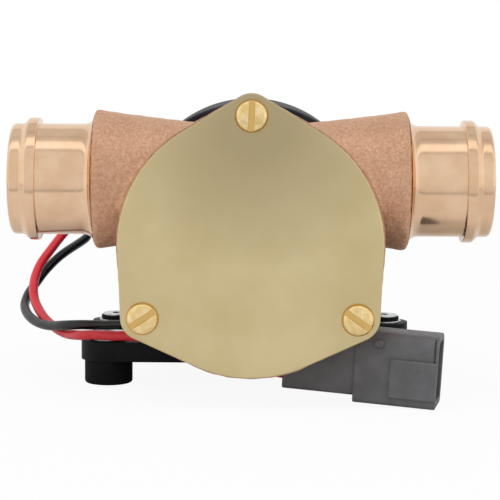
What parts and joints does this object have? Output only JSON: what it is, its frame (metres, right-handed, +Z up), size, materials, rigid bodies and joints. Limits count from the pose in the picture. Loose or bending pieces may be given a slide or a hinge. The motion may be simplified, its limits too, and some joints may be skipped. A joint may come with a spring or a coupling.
{
  "type": "flexible impeller pump",
  "caption": "Electric flexible impeller pump: bronze head with ear cover and beaded hose spigots, black motor, base on rubber feet, leads to a sealed connector.",
  "frame": {"origin": "centre of the four rubber feet, on the surface that they stand on", "axes": "+X from the left port to the right port seen from the cover, +Y from the end cover to the motor along the shaft, +Z up"},
  "size_m": [0.1691, 0.1531, 0.1054],
  "materials": {
    "cast_bronze": "rough sand-cast bronze",
    "turned_bronze": "turned and polished bronze",
    "cover_brass": "satin brass plate",
    "screw_brass": "bright turned brass",
    "black_paint": "semi-gloss black paint",
    "black_rubber": "matt rubber",
    "base_plastic": "moulded black",
    "steel": "machined steel",
    "copper": "copper",
    "carbon": "carbon and laminate",
    "ferrite": "sintered ferrite",
    "red_insulation": "extruded insulation",
    "black_insulation": "extruded insulation",
    "grey_plastic": "moulded grey",
    "seal_orange": "silicone"
  },
  "bodies": {
    "pump": {"pump_body": "cast_bronze", "inlet_spigot": "turned_bronze", "outlet_spigot": "turned_bronze", "end_cover": "cover_brass", "cover_screws": "screw_brass", "cover_o_ring": "black_rubber", "cam": "cover_brass", "cam_screw": "screw_brass", "wear_plate": "steel", "shaft_seal": "black_rubber", "seal_spring": "steel", "front_bracket": "black_paint", "adaptor_screws": "steel", "front_bearing_outer": "steel", "rear_bearing_outer": "steel", "preload_washer": "steel", "motor_yoke": "black_paint", "magnets": "ferrite", "brush_plate": "carbon", "brush_holders": "cover_brass", "left_brush_spring": "steel", "right_brush_spring": "steel", "rear_end_cap": "black_paint", "through_bolts": "steel", "lead_grommet": "black_rubber", "motor_base": "base_plastic", "base_screws": "steel", "rubber_feet": "black_rubber", "foot_sleeves": "steel", "red_lead": "red_insulation", "black_lead": "black_insulation", "connector_boot": "grey_plastic", "connector_housing": "grey_plastic", "connector_seal": "seal_orange", "connector_pins": "steel", "connector_wedge": "seal_orange"},
    "rotor": {"impeller": "black_rubber", "impeller_insert": "cover_brass", "drive_key": "steel", "motor_shaft": "steel", "slinger": "black_rubber", "front_bearing_inner": "steel", "rear_bearing_inner": "steel", "armature_core": "steel", "armature_windings": "copper", "commutator": "copper"},
    "front_cage": {"front_bearing_cage": "cover_brass", "front_bearing_balls": "steel"},
    "rear_cage": {"rear_bearing_cage": "cover_brass", "rear_bearing_balls": "steel"},
    "left_brush_body": {"left_brush": "carbon"},
    "right_brush_body": {"right_brush": "carbon"}
  },
  "joints": [
    {"name": "shaft_spin", "type": "hinge", "parent": "pump", "child": "rotor", "pos_m": [0, 0, 0.055], "axis": [0, 1, 0], "continuous": true, "deforming": ["impeller"]},
    {"name": "front_cage_spin", "type": "hinge", "parent": "pump", "child": "front_cage", "pos_m": [0, -0.003, 0.055], "axis": [0, 1, 0], "continuous": true},
    {"name": "rear_cage_spin", "type": "hinge", "parent": "pump", "child": "rear_cage", "pos_m": [0, 0.06, 0.055], "axis": [0, 1, 0], "continuous": true},
    {"name": "left_brush_slide", "type": "slide", "parent": "pump", "child": "left_brush_body", "axis": [-1, 0, 0], "range_m": [0, 0.003], "stiffness_N_per_m": 150, "springref_m": -0.004, "deforming": ["left_brush_spring"]},
    {"name": "right_brush_slide", "type": "slide", "parent": "pump", "child": "right_brush_body", "axis": [1, 0, 0], "range_m": [0, 0.003], "stiffness_N_per_m": 150, "springref_m": -0.004, "deforming": ["right_brush_spring"]}
  ],
  "couplings": [
    {"joint": "front_cage_spin", "follows": "shaft_spin", "ratio": 0.3659},
    {"joint": "rear_cage_spin", "follows": "shaft_spin", "ratio": 0.3825}
  ]
}
